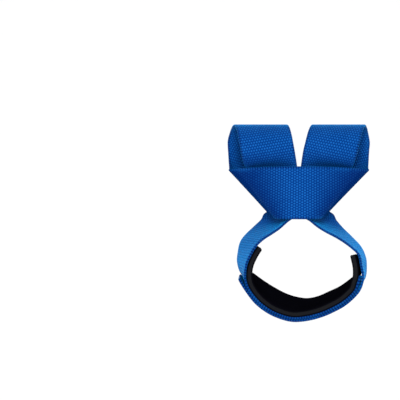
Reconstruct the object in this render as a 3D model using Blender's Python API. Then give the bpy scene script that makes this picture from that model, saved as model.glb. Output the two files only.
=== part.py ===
"""A weightlifting strap, hitched as it hangs ready for use.

One length of webbing runs round the wrist, up one leg, over its turn of the hitch, across the
front as a panel, back over the second turn, down the other leg and round the wrist again, where
its two ends lie under each other. A foam pad lines the wrist. The hitch's round opening lies on
the X axis, the front panel faces -Y and the wrist loop hangs below.
"""

import math

import bmesh
import bpy
from mathutils import Vector

# Driving sizes, in metres.
WEBBING_WIDTH = 0.038
WEBBING_THICKNESS = 0.0016
PAD_WIDTH = 0.038
PAD_THICKNESS = 0.0042
HITCH_OPENING = 0.030
LEG_SPACING = 0.0054
WRIST_WIDTH = 0.0925
WRIST_HEIGHT = 0.0503
WRIST_SHIFT = 0.0014
HANG = 0.1239
LAYER_GAP = 0.0004
TAIL_LIFT = 0.0024
LEAVE_LIFT = 0.0007
NEAR_SHARE = 0.43

# How finely the webbing and the pad are faceted.
ACROSS = 6
LONGEST_FACET = 0.005

# Where a leg leaves its turn, and how far a turn runs, from the front and over the top.
LEAVE_ANGLE = math.radians(-25)
BACK_ANGLE = math.radians(180)
TURN_SECTIONS = 9

# How many layers of webbing lie outside the pad, under the wrist and beside it on average.
LAYERS_UNDER = 2
LAYERS_BESIDE = 1.5

# Worked out from the sizes above.
LAYER = WEBBING_THICKNESS + LAYER_GAP
TURN_RADIUS = (HITCH_OPENING + WEBBING_THICKNESS) / 2
PANEL_DEPTH = TURN_RADIUS + LAYER
WRIST_HALF = WRIST_WIDTH / 2 - LAYERS_BESIDE * LAYER
WRIST_LOW = -(HANG - LAYERS_UNDER * LAYER)
WRIST_TOP = WRIST_LOW + WRIST_HEIGHT
NEAR_EDGE = NEAR_SHARE * WEBBING_WIDTH

# How far each turn leans outwards, in degrees, on its front half and on its back half.
LEANS = {
    "left": {"front": 10.0, "back": 12.0},
    "right": {"front": 13.0, "back": 9.0},
}

# The front panel from its middle, and the soft fold that takes it round behind the leg and up to
# its turn. top_out is a share of the turn's reach, low_out of the panel's lower corner; the
# depths are shares of the panel's depth, and top_level of the turn's radius. low_drop is a share
# of the webbing's width below the panel's top.
FOLD = (
    # top_out, top_deep, top_level, low_out, low_deep, low_drop
    (0.00, -0.98, -0.78, 0.00, -0.99, 1.00),
    (0.31, -0.92, -0.79, 0.29, -0.99, 1.00),
    (0.60, -0.78, -0.83, 0.59, -0.95, 1.00),
    (0.80, -0.62, -0.89, 0.81, -0.80, 0.99),
    (0.92, -0.40, -0.94, 0.94, -0.53, 0.96),
    (0.975, -0.12, -0.97, 1.03, -0.17, 0.92),
    (0.97, 0.20, -0.97, 1.08, 0.29, 0.87),
    (0.97, 0.56, -0.86, 1.13, 0.84, 0.79),
    (0.98, 0.81, -0.56, 1.07, 1.04, 0.61),
    (0.99, 0.91, -0.16, 0.88, 0.99, 0.27),
)
CORNER_SHARES = {"left": 0.82, "right": 0.862}
PANEL_TOP = FOLD[0][2] * TURN_RADIUS
PANEL_LOW = PANEL_TOP - WEBBING_WIDTH

# Each leg inside the hitch, where the fold squeezes it. The outs are shares of the webbing's
# width, and so are the drops below the panel's top. inner_deep is a share of the panel's depth.
# pinch is how wide the cupped webbing stands, as a share of its width.
KNOT = (
    # outer_out, outer_drop, inner_out, inner_drop, inner_deep, pinch
    (0.980, 0.12, 0.030, 0.06, 0.76, 0.965),
    (0.890, 0.36, 0.030, 0.33, 0.80, 0.90),
    (0.710, 0.59, 0.065, 0.62, 0.83, 0.82),
    (0.555, 0.75, 0.115, 0.83, 0.86, 0.77),
    (0.505, 0.85, 0.160, 0.98, 0.87, 0.79),
)

# Each leg from the hitch down to the wrist, where its inner edge comes to the front. The outs
# are shares of half the wrist's width, and the downs run from the panel's lower edge, 0, to the
# wrist's top, 1.
LEGS = {
    "left": (
        # outer_out, outer_down, inner_out, inner_down, pinch
        (0.531, -0.10, 0.195, 0.11, 0.87),
        (0.580, 0.14, 0.295, 0.33, 0.94),
        (0.672, 0.38, 0.405, 0.52, 0.99),
        (0.829, 0.75, 0.540, 0.73, 1.00),
    ),
    "right": (
        (0.540, -0.08, 0.190, 0.08, 0.87),
        (0.592, 0.17, 0.295, 0.29, 0.94),
        (0.684, 0.46, 0.428, 0.485, 0.99),
        (0.822, 0.80, 0.600, 0.705, 1.00),
        (0.970, 1.19, 0.775, 0.985, 1.00),
        (1.040, 1.59, 0.920, 1.31, 1.00),
        (1.052, 1.95, 0.958, 1.68, 1.00),
    ),
}

# The outside of the pad round the wrist, from its left end, under, to its right end, at its near
# and far edges. The outs are shares of half the wrist's width, and the ups of its height.
WRIST = (
    # near_out, near_up, far_out, far_up
    (-0.71, 1.00, -0.975, 0.99),
    (-0.80, 0.88, -1.005, 0.87),
    (-0.88, 0.72, -1.017, 0.72),
    (-0.90, 0.54, -0.955, 0.565),
    (-0.845, 0.39, -0.81, 0.475),
    (-0.70, 0.227, -0.645, 0.375),
    (-0.52, 0.105, -0.465, 0.28),
    (-0.335, 0.03, -0.275, 0.195),
    (-0.135, -0.013, -0.08, 0.14),
    (0.075, 0.00, 0.125, 0.117),
    (0.29, 0.045, 0.325, 0.15),
    (0.49, 0.115, 0.515, 0.22),
    (0.695, 0.215, 0.71, 0.30),
    (0.87, 0.356, 0.905, 0.42),
    (0.922, 0.468, 0.968, 0.470),
    (0.955, 0.58, 1.01, 0.522),
    (0.948, 0.72, 1.035, 0.70),
    (0.905, 0.885, 0.985, 0.83),
)
OUTER_TAIL = (3, 15)
INNER_TAIL = (0, 15)

MATERIALS = {
    "webbing": ((0.005, 0.085, 0.402, 1.0), 0.75),
    "wrist_pad": ((0.006, 0.006, 0.007, 1.0), 0.9),
}


def mix(start, end, share):
    return start + (end - start) * share


def cupped(outer, inner, ahead, pinch):
    """Points across the webbing, cupped inwards so that its whole width fits between two edges."""
    chord = inner - outer
    inwards = chord.cross(ahead).normalized()
    spare = max(0.0, 1 / pinch - 1)
    cup = chord.length * math.sqrt(3 / 8 * spare)
    points = []
    for step in range(ACROSS + 1):
        share = step / ACROSS
        points.append(outer + chord * share + inwards * cup * 4 * share * (1 - share))
    return points


def turn_centre(side, angle):
    """How far out the middle of a turn lies at an angle, from the front and over the top."""
    front = math.radians(LEANS[side]["front"])
    back = math.radians(LEANS[side]["back"])
    top = math.pi / 2
    start = LEG_SPACING / 2 + WEBBING_WIDTH / 2 * math.cos(front)
    on_front = min(angle, top) - LEAVE_ANGLE
    on_back = max(angle, top) - top
    return start + TURN_RADIUS * (on_front * math.tan(front) + on_back * math.tan(back))


def turn_section(side, sign, angle):
    """Points across a turn, which lie on the hitch's cylinder because the webbing is flat on it."""
    share_back = angle / math.pi
    lean = math.radians(mix(LEANS[side]["front"], LEANS[side]["back"], share_back))
    points = []
    for step in range(ACROSS + 1):
        outwards = (0.5 - step / ACROSS) * WEBBING_WIDTH
        out = turn_centre(side, angle) + outwards * math.cos(lean)
        at = angle - outwards * math.sin(lean) / TURN_RADIUS
        points.append(
            Vector((sign * out, -TURN_RADIUS * math.cos(at), TURN_RADIUS * math.sin(at)))
        )
    return points


def turn_sections(side, sign):
    """One turn, from where the leg leaves it to the back."""
    return [
        turn_section(side, sign, mix(LEAVE_ANGLE, BACK_ANGLE, step / (TURN_SECTIONS - 1)))
        for step in range(TURN_SECTIONS)
    ]


def fold_sections(side, sign):
    """Half of the front panel and its fold, from the middle to the back of its turn."""
    reach = turn_centre(side, BACK_ANGLE) + WEBBING_WIDTH / 2
    corner = reach - CORNER_SHARES[side] * WEBBING_WIDTH
    sections = []
    for top_out, top_deep, top_level, low_out, low_deep, low_drop in FOLD:
        top = Vector(
            (sign * top_out * reach, top_deep * PANEL_DEPTH, top_level * TURN_RADIUS)
        )
        low = Vector(
            (
                sign * low_out * corner,
                low_deep * PANEL_DEPTH,
                PANEL_TOP - low_drop * WEBBING_WIDTH,
            )
        )
        sections.append(cupped(top, low, Vector((0, 0, 1)), 1.0))
    return sections


def leg_section(sign, outer_out, outer_z, inner_out, inner_z, inner_y, pinch):
    """Points across a leg, with its outer edge as far back as the webbing's width asks."""
    level = inner_z - outer_z
    flat = outer_out - inner_out
    width = pinch * WEBBING_WIDTH
    depth = math.sqrt(max(width**2 - level**2 - flat**2, 0.0))
    outer = Vector((sign * outer_out, inner_y + depth, outer_z))
    inner = Vector((sign * inner_out, inner_y, inner_z))
    return cupped(outer, inner, Vector((0, 0, sign)), pinch)


def knot_sections(sign):
    """A leg inside the hitch, from its turn down."""
    sections = []
    for outer_out, outer_drop, inner_out, inner_drop, inner_deep, pinch in KNOT:
        sections.append(
            leg_section(
                sign,
                outer_out * WEBBING_WIDTH,
                PANEL_TOP - outer_drop * WEBBING_WIDTH,
                inner_out * WEBBING_WIDTH,
                PANEL_TOP - inner_drop * WEBBING_WIDTH,
                -inner_deep * PANEL_DEPTH,
                pinch,
            )
        )
    return sections


def lower_leg_sections(side, sign):
    """A leg from the hitch down to the wrist."""
    sections = []
    rows = LEGS[side]
    *_, knot_deep, _ = KNOT[-1]
    for number, (outer_out, outer_down, inner_out, inner_down, pinch) in enumerate(rows):
        inner_y = -mix(knot_deep * PANEL_DEPTH, NEAR_EDGE, (number + 1) / (len(rows) + 1))
        sections.append(
            leg_section(
                sign,
                outer_out * WRIST_WIDTH / 2,
                mix(PANEL_LOW, WRIST_TOP, outer_down),
                inner_out * WRIST_WIDTH / 2,
                mix(PANEL_LOW, WRIST_TOP, inner_down),
                inner_y,
                pinch,
            )
        )
    return sections


def wrist_sections(width):
    """The pad's outside round the wrist, far edge first, as wide as asked."""
    sections = []
    for near_out, near_up, far_out, far_up in WRIST:
        near = Vector(
            (
                WRIST_SHIFT + near_out * WRIST_HALF,
                -NEAR_EDGE,
                WRIST_LOW + near_up * WRIST_HEIGHT,
            )
        )
        far = Vector(
            (
                WRIST_SHIFT + far_out * WRIST_HALF,
                0,
                WRIST_LOW + far_up * WRIST_HEIGHT,
            )
        )
        flat = math.hypot(far.x - near.x, far.z - near.z)
        far.y = near.y + math.sqrt(WEBBING_WIDTH**2 - flat**2)
        middle = (near + far) / 2
        half = (near - far).normalized() * width / 2
        sections.append(
            [mix(middle - half, middle + half, step / ACROSS) for step in range(ACROSS + 1)]
        )
    return sections


def normals(sections):
    """The outward direction at every point of a run of sections."""
    found = []
    last = len(sections) - 1
    for row, section in enumerate(sections):
        line = []
        for step, _ in enumerate(section):
            ahead = sections[min(row + 1, last)][step] - sections[max(row - 1, 0)][step]
            across = section[min(step + 1, ACROSS)] - section[max(step - 1, 0)]
            line.append(ahead.cross(across).normalized())
        found.append(line)
    return found


def lifted(sections, lift):
    """The sections moved outwards, by what lift gives for each place along and across."""
    moved = []
    for row, (section, outwards) in enumerate(zip(sections, normals(sections))):
        last = len(section) - 1
        pairs = enumerate(zip(section, outwards))
        moved.append([p + n * lift(row, step / last) for step, (p, n) in pairs])
    return moved


def smooth(sections, beyond=None):
    """A finer run of sections on a smooth curve through the given ones, heading for one beyond."""
    last = len(sections) - 1
    fine = []
    for row in range(last):
        before = sections[max(row - 1, 0)]
        start = sections[row]
        end = sections[row + 1]
        after = sections[row + 2] if row + 2 <= last else beyond or sections[last]
        longest = max((b - a).length for a, b in zip(start, end))
        pieces = max(1, math.ceil(longest / LONGEST_FACET))
        for piece in range(pieces):
            t = piece / pieces
            fine.append([curve(*points, t) for points in zip(before, start, end, after)])
    fine.append(sections[-1])
    return fine


def curve(before, start, end, after, t):
    """A point between start and end on the curve that also heeds their neighbours."""
    first = (end - before) / 2
    second = (after - start) / 2
    gap = end - start
    return start + t * (
        first + t * (3 * gap - 2 * first - second + t * (first + second - 2 * gap))
    )


def solid(name, sections, inside, outside):
    """A closed solid between two distances from a run of sections."""
    shape = bmesh.new()
    rings = []
    for section, outwards in zip(sections, normals(sections)):
        upper = [shape.verts.new(p + n * outside) for p, n in zip(section, outwards)]
        lower = [shape.verts.new(p + n * inside) for p, n in zip(section, outwards)]
        rings.append(upper + lower[::-1])
    for ring, following in zip(rings, rings[1:]):
        for corner in range(len(ring)):
            beside = (corner + 1) % len(ring)
            shape.faces.new((ring[corner], ring[beside], following[beside], following[corner]))
    for ring in (rings[0], rings[-1]):
        for step in range(ACROSS):
            far_side = len(ring) - 1 - step
            shape.faces.new((ring[step], ring[step + 1], ring[far_side - 1], ring[far_side]))
    bmesh.ops.recalc_face_normals(shape, faces=shape.faces)
    mesh = bpy.data.meshes.new(name)
    shape.to_mesh(mesh)
    shape.free()
    mesh.shade_smooth()
    mesh.set_sharp_from_angle(angle=math.radians(40))
    thing = bpy.data.objects.new(name, mesh)
    bpy.context.scene.collection.objects.link(thing)
    return thing


def finish(thing):
    """Gives a piece its own material."""
    colour, roughness = MATERIALS[thing.name]
    material = bpy.data.materials.new(thing.name)
    material.use_nodes = True
    shader = material.node_tree.nodes["Principled BSDF"]
    shader.inputs["Base Color"].default_value = colour
    shader.inputs["Roughness"].default_value = roughness
    shader.inputs["Metallic"].default_value = 0.0
    thing.data.materials.append(material)


def side_sections(side, sign):
    """One side of the webbing, from the panel's middle to the leg's lower end."""
    turn = turn_sections(side, sign)[::-1]
    leg = knot_sections(sign) + lower_leg_sections(side, sign)
    return fold_sections(side, sign) + turn + leg


def build_webbing():
    """The whole length of webbing, from its outer tail to its inner one."""
    wrist = wrist_sections(WEBBING_WIDTH)
    inner_lift = LAYER_GAP + WEBBING_THICKNESS / 2
    outer_lift = inner_lift + LAYER
    first, last = OUTER_TAIL

    def outer_tail_lift(row, across):
        if row == first:
            return outer_lift + TAIL_LIFT * across
        if row == last - 1:
            return outer_lift + LEAVE_LIFT * across
        return outer_lift

    outer_tail = lifted(wrist, outer_tail_lift)[first : last + 1]
    first_inner, last_inner = INNER_TAIL
    inner = lifted(wrist, lambda row, across: inner_lift)
    inner_tail = inner[first_inner : last_inner + 1]
    right = side_sections("right", 1)[::-1]
    left = side_sections("left", -1)[1:]
    route = smooth(outer_tail + right + left + inner_tail, beyond=inner[last_inner + 1])
    half = WEBBING_THICKNESS / 2
    return solid("webbing", route, -half, half)


def build_pad():
    """The foam pad that lines the wrist."""
    return solid("wrist_pad", smooth(wrist_sections(PAD_WIDTH)), -PAD_THICKNESS, 0.0)


def main():
    for thing in list(bpy.data.objects):
        bpy.data.objects.remove(thing)
    for build in (build_webbing, build_pad):
        finish(build())


main()
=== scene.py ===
"""A weightlifting strap of woven webbing, hitched as it hangs ready for use, with a foam pad sewn
inside its wrist loop. Each operator makes one piece, and the last one makes the stage."""

import math

import bmesh
import bpy
from bpy.props import FloatProperty, FloatVectorProperty, PointerProperty
from mathutils import Matrix, Vector


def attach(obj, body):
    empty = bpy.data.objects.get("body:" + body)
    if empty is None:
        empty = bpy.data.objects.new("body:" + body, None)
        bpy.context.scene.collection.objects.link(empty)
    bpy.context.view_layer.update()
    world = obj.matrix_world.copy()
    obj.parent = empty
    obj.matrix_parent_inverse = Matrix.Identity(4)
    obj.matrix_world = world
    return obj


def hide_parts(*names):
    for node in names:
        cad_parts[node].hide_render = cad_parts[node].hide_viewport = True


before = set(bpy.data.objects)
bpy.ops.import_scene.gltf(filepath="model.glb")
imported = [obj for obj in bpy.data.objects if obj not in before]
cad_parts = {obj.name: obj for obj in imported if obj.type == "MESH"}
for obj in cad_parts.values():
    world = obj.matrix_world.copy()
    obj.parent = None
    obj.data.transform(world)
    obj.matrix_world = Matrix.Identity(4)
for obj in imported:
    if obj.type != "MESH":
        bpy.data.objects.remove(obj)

bl_info = {
    "name": "Weightlifting Strap",
    "version": (1, 0, 0),
    "blender": (4, 5, 0),
    "location": "View3D > Sidebar > Strap",
    "description": "Makes a hitched weightlifting strap with its pad, stitching and stage",
    "category": "Object",
}

# How far each turn leans outwards, in degrees, on its front half and on its back half, and where
# the fold's lower corner lies, as a share of the webbing's width inside the turn's reach.
SIDES = {
    "left": {"front_lean": 10.0, "back_lean": 12.0, "corner_share": 0.82},
    "right": {"front_lean": 13.0, "back_lean": 9.0, "corner_share": 0.862},
}

# The front panel from its middle, and the soft fold that takes it round behind the leg and up to
# its turn, as shares of the turn's reach and radius, the panel's depth, the fold's lower corner
# and the webbing's width.
FOLD = (
    # top_out, top_deep, top_level, low_out, low_deep, low_drop
    (0.00, -0.98, -0.78, 0.00, -0.99, 1.00),
    (0.31, -0.92, -0.79, 0.29, -0.99, 1.00),
    (0.60, -0.78, -0.83, 0.59, -0.95, 1.00),
    (0.80, -0.62, -0.89, 0.81, -0.80, 0.99),
    (0.92, -0.40, -0.94, 0.94, -0.53, 0.96),
    (0.975, -0.12, -0.97, 1.03, -0.17, 0.92),
    (0.97, 0.20, -0.97, 1.08, 0.29, 0.87),
    (0.97, 0.56, -0.86, 1.13, 0.84, 0.79),
    (0.98, 0.81, -0.56, 1.07, 1.04, 0.61),
    (0.99, 0.91, -0.16, 0.88, 0.99, 0.27),
)

# Each leg inside the hitch, as shares of the webbing's width and, for inner_deep, of the panel's
# depth. pinch is how wide the cupped webbing stands, as a share of its width.
KNOT = (
    # outer_out, outer_drop, inner_out, inner_drop, inner_deep, pinch
    (0.980, 0.12, 0.030, 0.06, 0.76, 0.965),
    (0.890, 0.36, 0.030, 0.33, 0.80, 0.90),
    (0.710, 0.59, 0.065, 0.62, 0.83, 0.82),
    (0.555, 0.75, 0.115, 0.83, 0.86, 0.77),
    (0.505, 0.85, 0.160, 0.98, 0.87, 0.79),
)

# Each leg from the hitch down to the wrist. The outs are shares of half the wrist's width, and
# the downs run from the panel's lower edge, 0, to the wrist's top, 1.
LEGS = {
    "left": (
        # outer_out, outer_down, inner_out, inner_down, pinch
        (0.531, -0.10, 0.195, 0.11, 0.87),
        (0.580, 0.14, 0.295, 0.33, 0.94),
        (0.672, 0.38, 0.405, 0.52, 0.99),
        (0.829, 0.75, 0.540, 0.73, 1.00),
    ),
    "right": (
        (0.540, -0.08, 0.190, 0.08, 0.87),
        (0.592, 0.17, 0.295, 0.29, 0.94),
        (0.684, 0.46, 0.428, 0.485, 0.99),
        (0.822, 0.80, 0.600, 0.705, 1.00),
        (0.970, 1.19, 0.775, 0.985, 1.00),
        (1.040, 1.59, 0.920, 1.31, 1.00),
        (1.052, 1.95, 0.958, 1.68, 1.00),
    ),
}

# The outside of the pad round the wrist, from its left end, under, to its right end, as shares
# of half the wrist's width and of its height.
WRIST = (
    # near_out, near_up, far_out, far_up
    (-0.71, 1.00, -0.975, 0.99),
    (-0.80, 0.88, -1.005, 0.87),
    (-0.88, 0.72, -1.017, 0.72),
    (-0.90, 0.54, -0.955, 0.565),
    (-0.845, 0.39, -0.81, 0.475),
    (-0.70, 0.227, -0.645, 0.375),
    (-0.52, 0.105, -0.465, 0.28),
    (-0.335, 0.03, -0.275, 0.195),
    (-0.135, -0.013, -0.08, 0.14),
    (0.075, 0.00, 0.125, 0.117),
    (0.29, 0.045, 0.325, 0.15),
    (0.49, 0.115, 0.515, 0.22),
    (0.695, 0.215, 0.71, 0.30),
    (0.87, 0.356, 0.905, 0.42),
    (0.922, 0.468, 0.968, 0.470),
    (0.955, 0.58, 1.01, 0.522),
    (0.948, 0.72, 1.035, 0.70),
    (0.905, 0.885, 0.985, 0.83),
)
# How many layers of webbing lie under the wrist and beside it, and the rows of the wrist between
# which each tail lies and between which they are sewn.
LAYERS_UNDER = 2
LAYERS_BESIDE = 1.5
OUTER_TAIL = (3, 15)
INNER_TAIL = (0, 15)
SEWN = (3.6, 13.8)

# A turn runs from where its leg leaves it, low at the front, over the top and round to the back.
LEAVE_ANGLE = math.radians(-25)
BACK_ANGLE = math.radians(180)
TURN_SECTIONS = 9

# How finely the cloth is modelled: the steps across it, the metres between its rows, the steps
# round its edges, and the pieces of curve from one given row to the next.
ACROSS = 16
ROW_SPACING = 0.0013
ROUNDING = 4
PIECES = 16

# How many given rows on from the panel's middle its threads keep their own lengths, and by how
# many the webbing runs even again.
OWN_ROWS = 6
EVEN_ROWS = 15

# How far along from the panel's middle its folds lie, at its top edge and at its low one, and
# between which shares of that the cloth is turned under and gets the shaded copy of the webbing,
# with little sheen: painted shade. The reach also sizes the painted shade towards the folds.
PANEL_REACH = (0.049, 0.018)
TURNED = (0.93, 1.5)

# How far from the outer tail's end its inside is tucked out of the light, and gets the shaded copy
# of the webbing: painted shade.
TUCKED = 0.03

# How much thicker the webbing is where it is sewn, and within what length it gets so.
SWELL = 0.2
SWELL_REACH = 0.006

# How thick the webbing is at its sealed ends, as a share, and how far in from them it is whole.
SEALED_SHARE = 0.72
SEALED_LENGTH = 0.0012


def length(name, text, default, lowest=0.0):
    return FloatProperty(
        name=name, description=text, default=default, precision=5, min=lowest, unit="LENGTH"
    )


def colour(name, text, default):
    return FloatVectorProperty(
        name=name, description=text, default=default, subtype="COLOR", size=4, min=0.0, max=1.0
    )


class StrapSizes(bpy.types.PropertyGroup):
    webbing_width: length("Webbing Width", "Width of the webbing", 0.038)
    webbing_thickness: length("Webbing Thickness", "Thickness of the webbing", 0.0016)
    pad_width: length("Pad Width", "Width of the wrist pad", 0.038)
    pad_thickness: length("Pad Thickness", "Thickness of the wrist pad", 0.0042)
    hitch_opening: length("Hitch Opening", "Width of the round space in the turns", 0.030)
    leg_spacing: length("Leg Spacing", "Gap between the turns where the legs leave", 0.0054)
    wrist_width: length("Wrist Width", "Width of the wrist loop, outside", 0.0925)
    wrist_height: length("Wrist Height", "Height of the wrist loop up to the pad's ends", 0.0503)
    wrist_shift: length("Wrist Shift", "How far to the right the wrist loop hangs", 0.0014)
    hang: length("Hang", "Drop from the opening's axis to the wrist loop's underside", 0.1239)
    layer_gap: length("Layer Gap", "Gap between layers", 0.0004)
    tail_lift: length("Tail Lift", "How far the outer tail's near corner stands off", 0.0024)
    leave_lift: length("Leave Lift", "How far the right leg's near edge stands off", 0.0007)
    draw_in: length("Draw In", "How far the stitching draws the tails to the pad", 0.00022)
    weave_across: length("Weave Across", "From one raised yarn to the next across", 0.0020)
    weave_along: length("Weave Along", "Length of one float of a yarn", 0.00186)
    near_share: FloatProperty(
        name="Near Share",
        description="How far the wrist loop's near edge lies forward, in webbing widths",
        default=0.43,
        min=0.0,
        max=1.0,
    )


class StrapColours(bpy.types.PropertyGroup):
    # Yarn and groove give the weave's tone: partly the yarns' own, partly painted highlight on the
    # crowns and painted shade in the hollows. Edge is the tight edges' own colour and also the
    # painted shade towards the panel's folds, in the turns' dips and in the tail's lap.
    yarn: colour("Yarn", "Raised yarns of the webbing", (0.0038, 0.054, 0.203, 1.0))
    groove: colour("Groove", "Hollows between the yarns", (0.0001, 0.0120, 0.082, 1.0))
    edge: colour("Edge", "Tight edges of the webbing", (0.0001, 0.0026, 0.042, 1.0))
    worn: colour("Worn", "Rubbed yarns at the edges", (0.006, 0.11, 0.38, 1.0))
    facing: colour("Facing", "Knitted facing of the pad", (0.0007, 0.0007, 0.0013, 1.0))
    core: colour("Core", "Cut foam at the pad's edges", (0.0024, 0.0027, 0.0038, 1.0))
    dark_thread: colour("Dark Thread", "Thread on the pad", (0.0006, 0.0006, 0.0010, 1.0))
    blue_thread: colour("Blue Thread", "Thread on the webbing", (0.002, 0.070, 0.27, 1.0))
    floor: colour("Floor", "The floor under the strap", (0.93, 0.93, 0.93, 1.0))


class StrapStage(bpy.types.PropertyGroup):
    view_distance: length("View Distance", "From the camera to the strap", 6.0)
    view_width: length("View Width", "Width that the picture takes in at the strap", 0.2868)
    view_aside: length("View Aside", "Where the picture's middle lies along X", -0.0708, -1.0)
    view_level: length("View Level", "Where the picture's middle lies in height", -0.0376, -1.0)
    view_elevation: FloatProperty(
        name="View Elevation",
        description="How far above level the camera looks from",
        default=math.radians(4),
        subtype="ANGLE",
    )
    floor_drop: length("Floor Drop", "How far below the opening the floor lies", 0.60)
    floor_size: length("Floor Size", "Width of the floor", 90.0)
    sky: FloatProperty(
        name="Sky", description="Brightness of the surroundings", default=1.08, min=0.0
    )


def mix(start, end, share):
    return start + (end - start) * share


def cupped(outer, inner, ahead, pinch):
    """Points across the webbing, cupped inwards so that its whole width fits between two edges."""
    chord = inner - outer
    inwards = chord.cross(ahead).normalized()
    spare = max(0.0, 1 / pinch - 1)
    cup = chord.length * math.sqrt(3 / 8 * spare)
    points = []
    for step in range(ACROSS + 1):
        share = step / ACROSS
        points.append(outer + chord * share + inwards * cup * 4 * share * (1 - share))
    return points


def normals(sections):
    """The outward direction at every point of a run of sections."""
    found = []
    last = len(sections) - 1
    for row, section in enumerate(sections):
        line = []
        for step, _ in enumerate(section):
            ahead = sections[min(row + 1, last)][step] - sections[max(row - 1, 0)][step]
            across = section[min(step + 1, ACROSS)] - section[max(step - 1, 0)]
            line.append(ahead.cross(across).normalized())
        found.append(line)
    return found


def lifted(sections, lift):
    """The sections moved outwards, by what lift gives for each place along and across."""
    moved = []
    for row, (section, outwards) in enumerate(zip(sections, normals(sections))):
        last = len(section) - 1
        pairs = enumerate(zip(section, outwards))
        moved.append([p + n * lift(row, step / last) for step, (p, n) in pairs])
    return moved


def curve(before, start, end, after, t):
    """A point between start and end on the curve that also heeds their neighbours."""
    first = (end - before) / 2
    second = (after - start) / 2
    gap = end - start
    return start + t * (
        first + t * (3 * gap - 2 * first - second + t * (first + second - 2 * gap))
    )


def smooth(sections, beyond=None):
    """A finer run of sections on a smooth curve through the given ones, heading for one beyond."""
    last = len(sections) - 1
    fine = []
    for row in range(last):
        before = sections[max(row - 1, 0)]
        after = sections[row + 2] if row + 2 <= last else beyond or sections[last]
        for piece in range(PIECES):
            t = piece / PIECES
            four = zip(before, sections[row], sections[row + 1], after)
            fine.append([curve(*points, t) for points in four])
    fine.append(sections[-1])
    return fine


def evenly(sections, spacing):
    """The sections again at even steps along their middle, and how far along each one is."""
    middle = ACROSS // 2
    reached = [0.0]
    for start, end in zip(sections, sections[1:]):
        reached.append(reached[-1] + (end[middle] - start[middle]).length)
    count = max(2, round(reached[-1] / spacing))
    even = []
    row = 0
    for number in range(count + 1):
        target = reached[-1] * number / count
        while row < len(sections) - 2 and reached[row + 1] < target:
            row += 1
        share = (target - reached[row]) / max(reached[row + 1] - reached[row], 1e-9)
        even.append([mix(a, b, min(share, 1.0)) for a, b in zip(sections[row], sections[row + 1])])
    return even, [reached[-1] * number / count for number in range(count + 1)]


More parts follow.
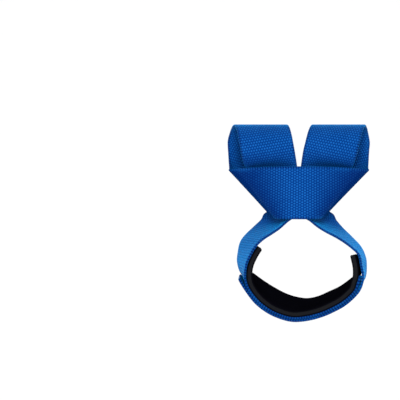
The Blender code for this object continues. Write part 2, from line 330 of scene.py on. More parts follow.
class Lay:
    """How the strap lies: its turns, folds, legs and wrist loop, worked out from its sizes."""

    def __init__(self, sizes):
        self.sizes = sizes
        self.layer = sizes.webbing_thickness + sizes.layer_gap
        self.radius = (sizes.hitch_opening + sizes.webbing_thickness) / 2
        self.panel_depth = self.radius + self.layer
        self.panel_top = FOLD[0][2] * self.radius
        self.panel_low = self.panel_top - sizes.webbing_width
        self.wrist_half = sizes.wrist_width / 2 - LAYERS_BESIDE * self.layer
        self.wrist_low = -(sizes.hang - LAYERS_UNDER * self.layer)
        self.wrist_top = self.wrist_low + sizes.wrist_height
        self.near_edge = sizes.near_share * sizes.webbing_width
        self.inner_lift = sizes.layer_gap + sizes.webbing_thickness / 2 - sizes.draw_in
        self.outer_lift = self.inner_lift + self.layer

    def turn_centre(self, side, angle):
        """How far out a turn's middle lies at an angle, from the front and over the top."""
        front = math.radians(SIDES[side]["front_lean"])
        back = math.radians(SIDES[side]["back_lean"])
        top = math.pi / 2
        start = self.sizes.leg_spacing / 2 + self.sizes.webbing_width / 2 * math.cos(front)
        on_front = min(angle, top) - LEAVE_ANGLE
        on_back = max(angle, top) - top
        return start + self.radius * (on_front * math.tan(front) + on_back * math.tan(back))

    def turn_section(self, side, sign, angle):
        """Points across a turn, flat on the round opening."""
        leans = SIDES[side]
        lean = math.radians(mix(leans["front_lean"], leans["back_lean"], angle / math.pi))
        points = []
        for step in range(ACROSS + 1):
            outwards = (0.5 - step / ACROSS) * self.sizes.webbing_width
            out = self.turn_centre(side, angle) + outwards * math.cos(lean)
            at = angle - outwards * math.sin(lean) / self.radius
            points.append(
                Vector((sign * out, -self.radius * math.cos(at), self.radius * math.sin(at)))
            )
        return points

    def turn(self, side, sign):
        """One turn, from where the leg leaves it to the back."""
        return [
            self.turn_section(
                side, sign, mix(LEAVE_ANGLE, BACK_ANGLE, step / (TURN_SECTIONS - 1))
            )
            for step in range(TURN_SECTIONS)
        ]

    def fold(self, side, sign):
        """Half of the front panel and its fold, from the middle to the back of its turn."""
        width = self.sizes.webbing_width
        reach = self.turn_centre(side, BACK_ANGLE) + width / 2
        corner = reach - SIDES[side]["corner_share"] * width
        sections = []
        for top_out, top_deep, top_level, low_out, low_deep, low_drop in FOLD:
            low_level = self.panel_top - low_drop * width
            depth = self.panel_depth
            top = Vector((sign * top_out * reach, top_deep * depth, top_level * self.radius))
            low = Vector((sign * low_out * corner, low_deep * depth, low_level))
            sections.append(cupped(top, low, Vector((0, 0, 1)), 1.0))
        return sections

    def leg_section(self, sign, outer_out, outer_z, inner_out, inner_z, inner_y, pinch):
        """Points across a leg, with its outer edge as far back as its width asks."""
        level = inner_z - outer_z
        flat = outer_out - inner_out
        width = pinch * self.sizes.webbing_width
        depth = math.sqrt(max(width**2 - level**2 - flat**2, 0.0))
        outer = Vector((sign * outer_out, inner_y + depth, outer_z))
        inner = Vector((sign * inner_out, inner_y, inner_z))
        return cupped(outer, inner, Vector((0, 0, sign)), pinch)

    def knot(self, sign):
        """A leg inside the hitch, from its turn down."""
        width = self.sizes.webbing_width
        sections = []
        for outer_out, outer_drop, inner_out, inner_drop, inner_deep, pinch in KNOT:
            outer = (outer_out * width, self.panel_top - outer_drop * width)
            inner = (inner_out * width, self.panel_top - inner_drop * width)
            deep = -inner_deep * self.panel_depth
            sections.append(self.leg_section(sign, *outer, *inner, deep, pinch))
        return sections

    def lower_leg(self, side, sign):
        """A leg from the hitch down to the wrist, where its inner edge comes to the front."""
        half = self.sizes.wrist_width / 2
        *_, knot_deep, _ = KNOT[-1]
        rows = LEGS[side]
        sections = []
        for number, (outer_out, outer_down, inner_out, inner_down, pinch) in enumerate(rows):
            share = (number + 1) / (len(rows) + 1)
            outer = (outer_out * half, mix(self.panel_low, self.wrist_top, outer_down))
            inner = (inner_out * half, mix(self.panel_low, self.wrist_top, inner_down))
            deep = -mix(knot_deep * self.panel_depth, self.near_edge, share)
            sections.append(self.leg_section(sign, *outer, *inner, deep, pinch))
        return sections

    def side(self, side, sign):
        """One side of the webbing, from the panel's middle to the leg's lower end."""
        turn = self.turn(side, sign)[::-1]
        return self.fold(side, sign) + turn + self.knot(sign) + self.lower_leg(side, sign)

    def wrist(self, width):
        """The pad's outside round the wrist, far edge first, as wide as asked."""
        sizes = self.sizes

        def spot(out, depth, up):
            level = self.wrist_low + up * sizes.wrist_height
            return Vector((sizes.wrist_shift + out * self.wrist_half, depth, level))

        sections = []
        for near_out, near_up, far_out, far_up in WRIST:
            near = spot(near_out, -self.near_edge, near_up)
            far = spot(far_out, 0, far_up)
            flat = math.hypot(far.x - near.x, far.z - near.z)
            far.y = near.y + math.sqrt(sizes.webbing_width**2 - flat**2)
            middle = (near + far) / 2
            half = (near - far).normalized() * width / 2
            sections.append(
                [mix(middle - half, middle + half, step / ACROSS) for step in range(ACROSS + 1)]
            )
        return sections

    def route(self):
        """The whole webbing's middle layer, from its outer tail to its inner one."""
        wrist = self.wrist(self.sizes.webbing_width)
        first, last = OUTER_TAIL

        def outer_tail_lift(row, across):
            if row == first:
                return self.outer_lift + self.sizes.tail_lift * across
            if row == last - 1:
                return self.outer_lift + self.sizes.leave_lift * across
            return self.outer_lift

        outer_tail = lifted(wrist, outer_tail_lift)[first : last + 1]
        first_inner, last_inner = INNER_TAIL
        inner = lifted(wrist, lambda row, across: self.inner_lift)
        inner_tail = inner[first_inner : last_inner + 1]
        right = self.side("right", 1)[::-1]
        left = self.side("left", -1)[1:]
        self.panel_row = len(outer_tail) + len(right) - 1
        return smooth(outer_tail + right + left + inner_tail, beyond=inner[last_inner + 1])


def skin(name, rings, along, around, slots):
    """A closed piece through a run of rings. Its UV map holds metres along and round it, and
    slots gives the material of each strip round the ring."""
    shape = bmesh.new()
    rows = len(rings) - 1
    steps = len(rings[0])
    bmesh.ops.create_grid(shape, x_segments=rows, y_segments=steps, size=0.5)
    cloth = shape.loops.layers.uv.new("Cloth")
    spots = {}
    for vert in shape.verts:
        spots[vert] = (round((vert.co.x + 0.5) * rows), round((vert.co.y + 0.5) * steps))

    def mark(face, slot):
        face.material_index = slot
        for loop in face.loops:
            row, step = spots[loop.vert]
            loop[cloth].uv = (along[row][step], around[step])

    for face in shape.faces:
        mark(face, slots[min(spots[vert][1] for vert in face.verts)])
    for vert, (row, step) in spots.items():
        vert.co = rings[row][step % steps]
    bmesh.ops.remove_doubles(shape, verts=shape.verts, dist=1e-7)
    rims = [edge for edge in shape.edges if edge.is_boundary]
    caps = bmesh.ops.holes_fill(shape, edges=rims, sides=0)["faces"]
    for face in caps:
        mark(face, slots[-1])
    bmesh.ops.triangulate(shape, faces=caps)
    bmesh.ops.recalc_face_normals(shape, faces=shape.faces)
    return piece_from(name, shape)


def mesh_from(name, shape):
    """A new mesh of the shape."""
    mesh = bpy.data.meshes.new(name)
    shape.to_mesh(mesh)
    shape.free()
    return mesh


def placed(name, data):
    """A new object in the scene."""
    made = bpy.data.objects.new(name, data)
    bpy.context.scene.collection.objects.link(made)
    return made


def piece_from(name, shape):
    """A new object of the shape, riding with the strap."""
    mesh = mesh_from(name, shape)
    mesh.shade_smooth()
    piece = placed(name, mesh)
    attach(piece, "root")
    return piece


class Wiring:
    """Adds nodes to a material and joins them up."""

    def __init__(self, name):
        self.material = bpy.data.materials.new(name)
        self.material.use_nodes = True
        self.tree = self.material.node_tree

    def node(self, kind, inputs=None, **settings):
        made = self.tree.nodes.new(kind)
        for key, value in settings.items():
            setattr(made, key, value)
        for key, value in (inputs or {}).items():
            self.feed(made.inputs[key], value)
        return made

    def feed(self, socket, value):
        if isinstance(value, bpy.types.NodeSocket):
            self.tree.links.new(value, socket)
        else:
            socket.default_value = value

    def surface(self, looks):
        """Feeds the shader's sockets, and gives the finished material."""
        shader = self.tree.nodes["Principled BSDF"]
        for name, value in looks.items():
            self.feed(shader.inputs[name], value)
        return self.material

    def math(self, operation, *values, clamp=False):
        inputs = dict(enumerate(values))
        return self.node("ShaderNodeMath", inputs, operation=operation, use_clamp=clamp).outputs[0]

    def plus(self, first, second):
        return self.math("ADD", first, second)

    def minus(self, first, second, clamp=False):
        return self.math("SUBTRACT", first, second, clamp=clamp)

    def times(self, first, second, clamp=False):
        return self.math("MULTIPLY", first, second, clamp=clamp)

    def times_plus(self, value, factor, extra, clamp=False):
        return self.math("MULTIPLY_ADD", value, factor, extra, clamp=clamp)

    def size_of(self, value):
        return self.math("ABSOLUTE", value)

    def blend(self, share, first, second):
        made = self.node("ShaderNodeMix", {0: share, 6: first, 7: second}, data_type="RGBA")
        return made.outputs[2]

    def between(self, value, low, high):
        inputs = {0: value, 1: low, 2: high}
        made = self.node("ShaderNodeMapRange", inputs, clamp=True, interpolation_type="SMOOTHSTEP")
        return made.outputs[0]

    def float_over(self, lengthwise, column, half_width):
        """The height of the yarn that passes over in each cell of the weave, from 0 to 1."""
        crosswise = self.minus(self.math("FRACT", column), 0.5)
        long = self.times(self.size_of(lengthwise), FLOAT_FALL)
        wide = self.math("DIVIDE", self.size_of(crosswise), half_width)
        gone = self.plus(self.math("POWER", long, 2.0), self.math("POWER", wide, 2.0))
        return self.math("SQRT", self.minus(1.0, gone, clamp=True))

    def cloth_place(self):
        """How far along and round the cloth a point lies, in metres."""
        place = self.node("ShaderNodeUVMap", uv_map="Cloth").outputs[0]
        parts = self.node("ShaderNodeSeparateXYZ", {0: place})
        return place, parts.outputs[0], parts.outputs[1]

    def noise(self, place, scale, detail=2.0):
        inputs = {"Vector": place, "Scale": scale, "Detail": detail}
        return self.node("ShaderNodeTexNoise", inputs).outputs[0]

    def bump(self, height, distance, strength, normal=None):
        inputs = {"Height": height, "Distance": distance, "Strength": strength}
        if normal is not None:
            inputs["Normal"] = normal
        return self.node("ShaderNodeBump", inputs).outputs[0]


def scaled(shade, factor):
    """A colour made lighter or darker."""
    return tuple(min(1.0, factor * value) for value in shade[:3]) + (1.0,)


# The webbing's two materials with their sheen and shine: the open cloth, and a shaded copy with
# little sheen for the cloth that is turned under or tucked in, where shade falls: painted shade.
FINISHES = (("woven_webbing", 0.36, 0.02), ("shaded_webbing", 0.05, 0.0))

# The weave: how far its rows wander, in rows, how wide raised and sunken yarns are, in columns,
# how high the sunken ones stand, how fast a float falls off to its ends, and its filaments.
DRIFT = 0.13
RAISED_HALF = 0.42
SUNKEN_HALF = 0.34
SUNKEN_HEIGHT = 0.38
FLOAT_FALL = 1.9
FILAMENTS = (700.0, 9000.0, 1.0)

# Where each thing on the webbing begins and where it is whole, in metres: from the edge, for the
# painted shade where a turn dips, from where its leg leaves it, for the painted shade in the lap,
# from the tail's end, and for the seal from either end. Then how strongly each shows, the painted
# shade towards the panel's folds among them; the painted shade of the dip goes from the outer edge
# to the inner.
FADES = {
    "tight": (0.0010, 0.0004),
    "rim": (0.0011, 0.0002),
    "rubbed": (0.0030, 0.0002),
    "dip": (-0.010, 0.003),
    "past_dip": (0.014, 0.006),
    "lap_shade": (0.034, 0.018),
    "seal": (0.0016, 0.0006),
}
SHARES = {"fold_shade": 0.75, "lap_shade": 0.85, "bead": 0.5, "rubbed": 0.12, "seal": 0.7}
DIP_SHADE_SHARE = 0.62
DIP_SHADE_CHANGE = -0.45


def webbing_finish(name, sizes, colours, route_length, panel, leave, sheen, shine):
    """Woven nylon: staggered floats of lengthwise yarn, with tight edges and sealed ends."""
    wires = Wiring(name)
    yarn, groove, deep = (tuple(shade) for shade in (colours.yarn, colours.groove, colours.edge))
    place, along, around = wires.cloth_place()
    width = sizes.webbing_width
    turn = width + sizes.webbing_thickness * math.pi / 2
    across = wires.math("MODULO", around, turn)

    # The raised yarns stand in rows across the webbing, every second row shifted by half.
    drift = wires.times_plus(wires.noise(place, 60.0), 2 * DRIFT, -DRIFT)
    row = wires.times_plus(along, 1 / sizes.weave_along, drift)
    shift = wires.times(wires.math("MODULO", wires.math("FLOOR", row), 2.0), 0.5)
    column = wires.times_plus(across, 1 / sizes.weave_across, shift)
    lengthwise = wires.minus(wires.math("FRACT", row), 0.5)
    crown = wires.float_over(lengthwise, column, RAISED_HALF)
    sunk = wires.float_over(lengthwise, wires.plus(column, 0.5), SUNKEN_HALF)
    crown = wires.math("MAXIMUM", crown, wires.times(sunk, SUNKEN_HEIGHT))

    # The tight edge, where the cross yarn turns back, shows as short ridges.
    from_edge = wires.minus(width / 2, wires.size_of(wires.minus(across, width / 2)))
    edge = wires.between(from_edge, *FADES["tight"])
    ridge = wires.size_of(wires.math("SINE", wires.times(row, math.pi)))
    relief = wires.node("ShaderNodeMix", {0: edge, 2: crown, 3: ridge}, data_type="FLOAT")
    relief = relief.outputs[0]
    dot = wires.math("POWER", relief, 2.0)

    # Fine filaments lie along each float.
    stretched = wires.node("ShaderNodeMapping", {0: place, "Scale": FILAMENTS})
    filaments = wires.noise(stretched.outputs[0], 1.0, 1.0)

    # Colour: deep between the yarns, lighter on their crowns, uneven from yarn to yarn. The step
    # from groove to crown is partly the yarns' own tone, partly painted shade in the hollows and
    # painted highlight on the crowns.
    cell = wires.node(
        "ShaderNodeCombineXYZ", {0: wires.math("FLOOR", column), 1: wires.math("FLOOR", row)}
    )
    chance = wires.node("ShaderNodeTexWhiteNoise", {0: cell.outputs[0]}, noise_dimensions="2D")
    patches = wires.noise(place, 55.0, 3.0)
    tone = wires.times_plus(chance.outputs[0], 0.35, wires.times(patches, 0.5))
    tone = wires.plus(tone, wires.times(filaments, 0.2))
    share = wires.times(dot, wires.plus(tone, 0.55), clamp=True)
    base = wires.blend(share, groove, yarn)

    # On the panel the cloth is darkened towards the slanting folds, where it turns from the light:
    # painted shade.
    away = wires.size_of(wires.minus(along, panel))
    over = wires.math("DIVIDE", across, width)
    top, low = PANEL_REACH
    fold_shade = wires.math("DIVIDE", away, wires.times_plus(over, low - top, top))
    fold_shade = wires.times(wires.between(fold_shade, 0.1, 1.0), wires.between(fold_shade, 1.7, 1.3))
    front = wires.math("LESS_THAN", around, turn - sizes.webbing_thickness)
    base = wires.blend(wires.times(wires.times(fold_shade, front), SHARES["fold_shade"]), base, deep)

    # The turns are darkened where they dip behind the panel: painted shade.
    dip_shade = wires.between(away, *(leave + on for on in FADES["dip"]))
    past = wires.between(away, *(leave + on for on in FADES["past_dip"]))
    dip_shade = wires.times(wires.times(dip_shade, past), front)
    base = wires.blend(wires.times(dip_shade, wires.times_plus(over, DIP_SHADE_CHANGE, DIP_SHADE_SHARE)), base, deep)

    # Between the two tails the outer one's inside is darkened: painted shade in the lap.
    lap_shade = wires.times(wires.between(along, *FADES["lap_shade"]), wires.minus(1.0, front))
    base = wires.blend(wires.times(lap_shade, SHARES["lap_shade"]), base, deep)

    # The ridges make a row of beads, and the cloth beside them is rubbed here and there.
    rim = wires.between(from_edge, *FADES["rim"])
    bead = wires.times(wires.math("POWER", ridge, 2.0), SHARES["bead"])
    base = wires.blend(rim, base, wires.blend(bead, deep, yarn))
    rubbed = wires.between(from_edge, *FADES["rubbed"])
    rubbed = wires.times(rubbed, wires.between(patches, 0.45, 0.7))
    base = wires.blend(wires.times(rubbed, SHARES["rubbed"]), base, tuple(colours.worn))

    # The cut ends are melted shut, darker and harder.
    from_end = wires.math("MINIMUM", along, wires.minus(route_length, along))
    sealed = wires.between(from_end, *FADES["seal"])
    base = wires.blend(wires.times(sealed, SHARES["seal"]), base, groove)
    rough = wires.minus(wires.times_plus(dot, -0.25, 0.70), wires.times(sealed, 0.25))
    weave = wires.bump(relief, 0.0003, 0.65)
    return wires.surface(
        {
            "Base Color": base,
            "Roughness": rough,
            "Normal": wires.bump(filaments, 0.00004, 0.5, weave),
            "Sheen Weight": sheen,
            "Sheen Roughness": 0.35,
            "Sheen Tint": (0.01, 0.42, 1.0, 1.0),
            "Specular IOR Level": shine,
            "Specular Tint": (0.08, 0.42, 1.0, 1.0),
        }
    )


# The knitted facing: how wide its loops are and how long.
WALE = 0.0007
COURSE = 0.0006


def facing_finish(colours):
    """The pad's knitted facing: fine staggered loops on a matte ground."""
    wires = Wiring("pad_facing")
    place, along, around = wires.cloth_place()
    wale = wires.math("DIVIDE", around, WALE)
    leg = wires.size_of(wires.minus(wires.math("FRACT", wale), 0.5))
    course = wires.plus(wires.math("DIVIDE", along, COURSE), wires.times(leg, 1.2))
    loops = wires.math("SINE", wires.times(course, 2 * math.pi))
    loops = wires.times_plus(loops, 0.5, wires.times(leg, -1.0))
    patches = wires.noise(place, 70.0, 3.0)
    lint = wires.between(wires.noise(place, 1500.0), 0.62, 0.75)
    share = wires.plus(wires.times(patches, 0.5), wires.times(lint, 0.4))
    return wires.surface(
        {
            "Base Color": wires.blend(share, tuple(colours.facing), scaled(colours.facing, 3.2)),
            "Roughness": wires.times_plus(patches, 0.1, 0.82),
            "Normal": wires.bump(loops, 0.00012, 0.5),
            "Specular IOR Level": 0.0,
        }
    )


def core_finish(colours):
    """Cut closed-cell foam: a dark grey with fine pits."""
    wires = Wiring("pad_core")
    place = wires.node("ShaderNodeTexCoord").outputs["Object"]
    pits = wires.node("ShaderNodeTexVoronoi", {"Vector": place, "Scale": 3200.0})
    cells = wires.between(pits.outputs["Distance"], 0.05, 0.55)
    patches = wires.noise(place, 160.0, 3.0)
    share = wires.times_plus(cells, 0.55, wires.times(patches, 0.6), clamp=True)
    return wires.surface(
        {
            "Base Color": wires.blend(share, scaled(colours.core, 0.45), tuple(colours.core)),
            "Roughness": wires.times_plus(patches, 0.1, 0.85),
            "Normal": wires.bump(cells, 0.0001, 0.6),
            "Specular IOR Level": 0.08,
        }
    )


def thread_finish(name, shade):
    """Sewing thread, twisted from three plies."""
    wires = Wiring(name)
    place = wires.node("ShaderNodeTexCoord").outputs["Object"]
    plies = wires.node(
        "ShaderNodeTexWave",
        {"Vector": place, "Scale": 900.0, "Distortion": 1.5},
        bands_direction="DIAGONAL",
    ).outputs[1]
    return wires.surface(
        {
            "Base Color": wires.blend(plies, tuple(shade), scaled(shade, 1.9)),
            "Roughness": wires.times_plus(plies, -0.15, 0.62),
            "Normal": wires.bump(plies, 0.00006, 0.6),
            "Specular IOR Level": 0.0,
        }
    )


def thread_places(rows, along, panel, own_until, even_from):
    """How far along each lengthwise thread a row crosses it. On the panel the threads keep their
    own lengths, so the weave stays square to them where the rows fan out, and behind the fold the
    difference is taken up again."""
    centre = min(range(len(along)), key=lambda row: abs(along[row] - panel))
    lengths = [[0.0] * (ACROSS + 1) for _ in rows]
    for rising in (1, -1):
        row = centre + rising
        while 0 <= row < len(rows):
            for step in range(ACROSS + 1):
                gone = (rows[row][step] - rows[row - rising][step]).length
                lengths[row][step] = lengths[row - rising][step] + rising * gone
            row += rising
    places = []
    for row, line in enumerate(lengths):
        away = abs(along[row] - along[centre])
        share = min(1.0, max(0.0, (even_from - away) / (even_from - own_until)))
        share = share * share * (3 - 2 * share)
        even = along[row] - along[centre]
        places.append([along[centre] + mix(even, own, share) for own in line])
    return places


def ring_lengths(line):
    """The places along of one row's threads, carried round the ring."""
    rim = ROUNDING - 1
    return line + [line[-1]] * rim + line[::-1] + [line[0]] * rim + [line[0]]


def webbing_ring(section, outwards, half):
    """A ring round the webbing: its outside, its near edge, its inside and its far edge."""
    upper = [p + n * half for p, n in zip(section, outwards)]
    lower = [p - n * half for p, n in zip(section, outwards)]
    ring = list(upper)
    for edge, ends in ((-1, (upper[-1], lower[-1])), (0, (lower[0], upper[0]))):
        beside = section[-2] if edge == -1 else section[1]
        out = (section[edge] - beside).normalized() * half
        start, end = ends
        for step in range(1, ROUNDING):
            angle = math.pi * step / ROUNDING
            ring.append(mix(start, end, (1 - math.cos(angle)) / 2) + out * math.sin(angle))
        if edge == -1:
            ring.extend(lower[::-1])
    return ring


def ring_places(width, thickness):
    """How far round the webbing each point of its ring lies."""
    across = [width * step / ACROSS for step in range(ACROSS + 1)]
    rim = thickness * math.pi / 2
    rest = [width + rim * step / ROUNDING for step in range(1, ROUNDING)]
    half = across + rest
    turn = width + rim
    return half + [turn + place for place in half] + [2 * turn]


class OBJECT_OT_strap_webbing(bpy.types.Operator):
    """Makes the strap's whole length of woven webbing"""

    bl_idname = "object.strap_webbing"
    bl_label = "Make Webbing"

    def execute(self, context):
        sizes = context.scene.strap_sizes
        lay = Lay(sizes)
        route = lay.route()
        rows, along = evenly(route, ROW_SPACING)
        panel, own, even, leave = (
            len_until(route, (lay.panel_row + rows_on) * PIECES)
            for rows_on in (0, OWN_ROWS, EVEN_ROWS, len(FOLD) + TURN_SECTIONS - 1)
        )
        layered = OUTER_TAIL[1] - OUTER_TAIL[0]
        start, stop = (
            len_until(route, row) for row in (layered * PIECES, len(route) - 1 - layered * PIECES)
        )
        half = sizes.webbing_thickness / 2
        # The selvedges bulge by their rounding, so the flat part is that much narrower.
        narrow = 1 - sizes.webbing_thickness / sizes.webbing_width
        rings = []
        for row, (section, outwards) in enumerate(zip(rows, normals(rows))):
            middle = section[ACROSS // 2]
            inside = [middle + (p - middle) * narrow for p in section]
            end = min(along[row], along[-1] - along[row])
            thick = half * mix(SEALED_SHARE, 1, min(1.0, end / SEALED_LENGTH))
            # Sewn together, the layers under the wrist swell until they touch.
            sewn = max(start - along[row], along[row] - stop) / SWELL_REACH
            thick *= 1 + SWELL * min(1.0, max(0.0, sewn))
            rings.append(webbing_ring(inside, outwards, thick))
        around = ring_places(sizes.webbing_width, sizes.webbing_thickness)
        threads = thread_places(rows, along, panel, own - panel, even - panel)
        lengths = [ring_lengths(line) for line in threads]
        webbing = skin("woven_webbing", rings, lengths, around, [0] * len(rings[0]))
        colours = context.scene.strap_colours
        for name, sheen, shine in FINISHES:
            finish = webbing_finish(
                name, sizes, colours, along[-1], panel, leave - panel, sheen, shine
            )
            webbing.data.materials.append(finish)

        # The cloth that is turned under at the folds or tucked in at the tail gets the shaded copy,
        # with
        # little sheen: painted shade.
        spots = webbing.data.uv_layers["Cloth"].uv
        for face in webbing.data.polygons:
            lengthwise, girth = spots[face.loop_start].vector
            inside = girth > sizes.webbing_width
            over = (around[-1] - girth if inside else girth) / sizes.webbing_width
            reached = abs(lengthwise - panel) / mix(*PANEL_REACH, min(over, 1.0))
            turned = TURNED[0] < reached < TURNED[1]
            if turned or (inside and lengthwise < TUCKED):
                face.material_index = 1
        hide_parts("webbing")
        return {"FINISHED"}


# Across the pad's cut edge: how far through its thickness each line lies, how deeply the edge
# dips there, in metres, and whether the strip after it is foam.
PAD_EDGE = (
    # through, dip, foam
    (0.00, 0.0000, False),
    (0.05, -0.0001, False),
    (0.17, -0.0001, False),
    (0.20, 0.0002, True),
    (0.50, 0.0001, True),
    (0.80, 0.0002, False),
    (0.83, -0.0001, False),
    (0.95, -0.0001, False),
)

# How far in from the edges the stitches run, how deep and how wide they dimple the pad, how far
# its middle stands proud, how round its left and right ends are, and how soon the dimple begins.
STITCH_INSET = 0.0032
STITCH_DIMPLE = 0.00045
STITCH_REACH = 0.0016
PAD_CROWN = 0.0003
PAD_ENDS = (0.0016, 0.0006)
DIMPLE_FADE = 0.002


def pad_swell(across, width, sewn):
    """How far the pad's inside stands in or dips at a place across it."""
    from_edge = min(across, width - across)
    crown = PAD_CROWN * math.sin(math.pi * across / width)
    near_stitch = max(0.0, 1 - abs(from_edge - STITCH_INSET) / STITCH_REACH)
    return crown - STITCH_DIMPLE * sewn * near_stitch * near_stitch * (3 - 2 * near_stitch)


class OBJECT_OT_strap_pad(bpy.types.Operator):
    """Makes the foam pad that lines the wrist loop"""

    bl_idname = "object.strap_pad"
    bl_label = "Make Pad"

    def execute(self, context):
        sizes = context.scene.strap_sizes
        lay = Lay(sizes)
        wrist = smooth(lay.wrist(sizes.pad_width))
        rows, along = evenly(wrist, ROW_SPACING / 2)
        start, stop = (len_until(wrist, row * PIECES) for row in SEWN)
        width = sizes.pad_width
        rings = []
        for row, (section, outwards) in enumerate(zip(rows, normals(rows))):
            sewn = min(along[row] - start, stop - along[row]) / DIMPLE_FADE + 0.5
            ends = zip((along[row], along[-1] - along[row]), PAD_ENDS)
            missing = max(rounded_off(distance, radius) for distance, radius in ends)
            deep = sizes.pad_thickness - missing
            rings.append(self.ring(section, outwards, deep, width, min(1.0, max(0.0, sewn))))
        around = self.places(width, sizes.pad_thickness)
        lengths = [[place] * len(around) for place in along]
        pad = skin("foam_pad", rings, lengths, around, self.slots())
        colours = context.scene.strap_colours
        pad.data.materials.append(facing_finish(colours))
        pad.data.materials.append(core_finish(colours))
        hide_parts("wrist_pad")
        return {"FINISHED"}

    def ring(self, section, outwards, deep, width, sewn):
        """A ring round the pad: its outside, near cut edge, inside and far cut edge."""
        ring = list(section)
        ahead = (section[-1] - section[0]).normalized()
        for through, dip, _ in PAD_EDGE[1:]:
            ring.append(section[-1] - outwards[-1] * deep * through - ahead * dip)
        for step in range(ACROSS, -1, -1):
            swell = pad_swell(width * step / ACROSS, width, sewn)
            ring.append(section[step] - outwards[step] * (deep + swell))
        for through, dip, _ in PAD_EDGE[:0:-1]:
            ring.append(section[0] - outwards[0] * deep * through + ahead * dip)
        return ring

    def places(self, width, thickness):
        """How far round the pad each point of its ring lies."""
        across = [width * step / ACROSS for step in range(ACROSS + 1)]
        edge = [thickness * through for through, _, _ in PAD_EDGE[1:]]
        half = across + [width + place for place in edge]
        turn = width + thickness
        return half + [turn + place for place in half] + [2 * turn]

    def slots(self):
        """The material of each strip round the ring."""
        edge = [1 if foam else 0 for _, _, foam in PAD_EDGE]
        return [0] * ACROSS + edge + [0] * ACROSS + edge[::-1]


def rounded_off(distance, radius):
    """How much of the pad's thickness its end's rounded corner takes, at a distance from it."""
    if distance >= radius:
        return 0.0
    return radius - math.sqrt(max(radius**2 - (radius - distance) ** 2, 0.0))


def len_until(sections, row):
    """How far along its middle a run of sections has come at a row."""
    middle = ACROSS // 2
    whole = int(row)
    points = [section[middle] for section in sections[: whole + 1]]
    return sum((b - a).length for a, b in zip(points, points[1:]))


# From one stitch to the next, how long a stitch is, how thick its thread and how flat it lies,
# and how far in from the sewing's ends the rows across lie.
STITCH_SPACING = 0.0032
STITCH_LENGTH = 0.0027
THREAD = 0.00042
THREAD_FLATNESS = 0.8
CROSS_ROWS = (0.0025, 0.0060)


def stitches(name, lay, outside, thread):
    """Rows of thread through the pad and both tails, on the pad's inside or on the outer tail."""
    sizes = lay.sizes
    wrist = smooth(lay.wrist(sizes.webbing_width))
    rows, along = evenly(wrist, ROW_SPACING / 4)
    facing = normals(rows)
    start, stop = (len_until(wrist, row * PIECES) for row in SEWN)
    width = sizes.webbing_width
    shape = bmesh.new()

    def sew(distance, across, lengthwise):
        """Lays one stitch at a distance along and a place across the webbing."""
        row = min(range(len(rows)), key=lambda n: abs(along[n] - distance))
        row = min(max(row, 1), len(rows) - 2)
        spot = across / width * ACROSS
        step = min(int(spot), ACROSS - 1)
        share = spot - step
        point = mix(rows[row][step], rows[row][step + 1], share)
        out = mix(facing[row][step], facing[row][step + 1], share).normalized()
        if outside:
            point = point + out * (lay.outer_lift + sizes.webbing_thickness / 2 * (1 + SWELL))
        else:
            deep = sizes.pad_thickness + pad_swell(across, width, 1.0)
            point = point - out * deep
        ahead = (rows[row + 1][step] - rows[row - 1][step]).normalized()
        side = out.cross(ahead).normalized()
        if not lengthwise:
            ahead, side = side, -ahead
        turn = Matrix((ahead, side, out)).transposed().to_4x4()
        size = Matrix.Diagonal((STITCH_LENGTH, THREAD, THREAD * THREAD_FLATNESS, 1.0))
        bmesh.ops.create_uvsphere(
            shape,
            u_segments=10,
            v_segments=6,
            radius=0.5,
            matrix=Matrix.Translation(point) @ turn @ size,
        )

    count = int((stop - start) / STITCH_SPACING)
    for number in range(count + 1):
        for across in (STITCH_INSET, width - STITCH_INSET):
            sew(start + number * STITCH_SPACING, across, True)
    crossing = int((width - 2 * STITCH_INSET) / STITCH_SPACING)
    for number in range(1, crossing):
        across = STITCH_INSET + (width - 2 * STITCH_INSET) * number / crossing
        for inset in CROSS_ROWS:
            sew(start + inset, across, False)
            sew(stop - inset, across, False)
    piece = piece_from(name, shape)
    piece.data.materials.append(thread)
    return piece


class OBJECT_OT_strap_stitching(bpy.types.Operator):
    """Sews the pad and both tails together"""

    bl_idname = "object.strap_stitching"
    bl_label = "Make Stitching"

    def execute(self, context):
        colours = context.scene.strap_colours
        lay = Lay(context.scene.strap_sizes)
        dark = thread_finish("dark_thread", colours.dark_thread)
        blue = thread_finish("blue_thread", colours.blue_thread)
        stitches("pad_stitching", lay, False, dark)
        stitches("tail_stitching", lay, True, blue)
        return {"FINISHED"}


# What the lights face, where each hangs, its size in metres and its power in watts.
AIM = (0, 0, -0.06)
LIGHTS = {
    "key": {"at": (0.0, -1.85, 0.52), "size": 0.6, "power": 60.0},
    "left_side": {"at": (-1.2, 0.35, 0.7), "size": 0.7, "power": 8.0},
    "right_side": {"at": (1.2, 0.35, 0.7), "size": 0.7, "power": 8.0},
}


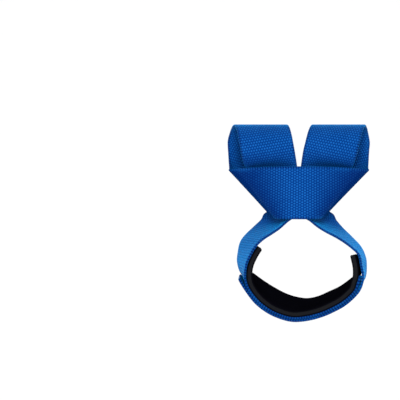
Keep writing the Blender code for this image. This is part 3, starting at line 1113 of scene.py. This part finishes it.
class SCENE_OT_strap_stage(bpy.types.Operator):
    """Makes the pale floor, the soft lights and the camera"""

    bl_idname = "scene.strap_stage"
    bl_label = "Make Stage"

    def execute(self, context):
        stage = context.scene.strap_stage
        self.make_floor(stage, context.scene.strap_colours)
        self.make_sky(stage)
        for name, light in LIGHTS.items():
            self.make_light(name, **light)
        self.make_camera(stage)
        return {"FINISHED"}

    def make_floor(self, stage, colours):
        shape = bmesh.new()
        bmesh.ops.create_grid(shape, x_segments=1, y_segments=1, size=stage.floor_size / 2)
        bmesh.ops.translate(shape, verts=shape.verts, vec=(0, 0, -stage.floor_drop))
        floor = placed("floor", mesh_from("floor", shape))
        looks = {"Base Color": colours.floor, "Roughness": 0.9}
        floor.data.materials.append(Wiring("floor").surface(looks))

    def make_sky(self, stage):
        world = bpy.data.worlds.new("sky")
        world.use_nodes = True
        background = world.node_tree.nodes["Background"]
        background.inputs["Color"].default_value = (1.0, 1.0, 1.0, 1.0)
        background.inputs["Strength"].default_value = stage.sky
        bpy.context.scene.world = world

    def make_light(self, name, at, size, power):
        data = bpy.data.lights.new(name, "AREA")
        data.shape = "DISK"
        data.size = size
        data.energy = power
        light = placed(name, data)
        light.location = at
        light.rotation_euler = (Vector(AIM) - light.location).to_track_quat("-Z", "Y").to_euler()

    def make_camera(self, stage):
        data = bpy.data.cameras.new("camera")
        data.lens = data.sensor_width * stage.view_distance / stage.view_width
        data.clip_end = 2 * stage.floor_size
        camera = placed("camera", data)
        tilt = stage.view_elevation
        middle = Vector((stage.view_aside, 0, stage.view_level / math.cos(tilt)))
        back = Vector((0, -math.cos(tilt), math.sin(tilt)))
        camera.location = middle + back * stage.view_distance
        camera.rotation_euler = (math.pi / 2 - tilt, 0, 0)
        bpy.context.scene.camera = camera
        bpy.context.scene.view_settings.view_transform = "Standard"


class VIEW3D_PT_strap(bpy.types.Panel):
    """The strap's sizes, colours and operators"""

    bl_label = "Weightlifting Strap"
    bl_space_type = "VIEW_3D"
    bl_region_type = "UI"
    bl_category = "Strap"

    def draw(self, context):
        scene = context.scene
        for group in (scene.strap_sizes, scene.strap_colours, scene.strap_stage):
            box = self.layout.box()
            for name in group.bl_rna.properties.keys():
                if name not in ("rna_type", "name"):
                    box.prop(group, name)
        for operator in OPERATORS:
            self.layout.operator(operator.bl_idname)


OPERATORS = (
    OBJECT_OT_strap_webbing,
    OBJECT_OT_strap_pad,
    OBJECT_OT_strap_stitching,
    SCENE_OT_strap_stage,
)
CLASSES = (StrapSizes, StrapColours, StrapStage, *OPERATORS, VIEW3D_PT_strap)


def register():
    for cls in CLASSES:
        bpy.utils.register_class(cls)
    bpy.types.Scene.strap_sizes = PointerProperty(type=StrapSizes)
    bpy.types.Scene.strap_colours = PointerProperty(type=StrapColours)
    bpy.types.Scene.strap_stage = PointerProperty(type=StrapStage)


def unregister():
    del bpy.types.Scene.strap_stage
    del bpy.types.Scene.strap_colours
    del bpy.types.Scene.strap_sizes
    for cls in reversed(CLASSES):
        bpy.utils.unregister_class(cls)


def main():
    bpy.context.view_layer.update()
    register()
    bpy.ops.object.strap_webbing()
    bpy.ops.object.strap_pad()
    bpy.ops.object.strap_stitching()
    bpy.ops.scene.strap_stage()


if __name__ == "__main__":
    main()
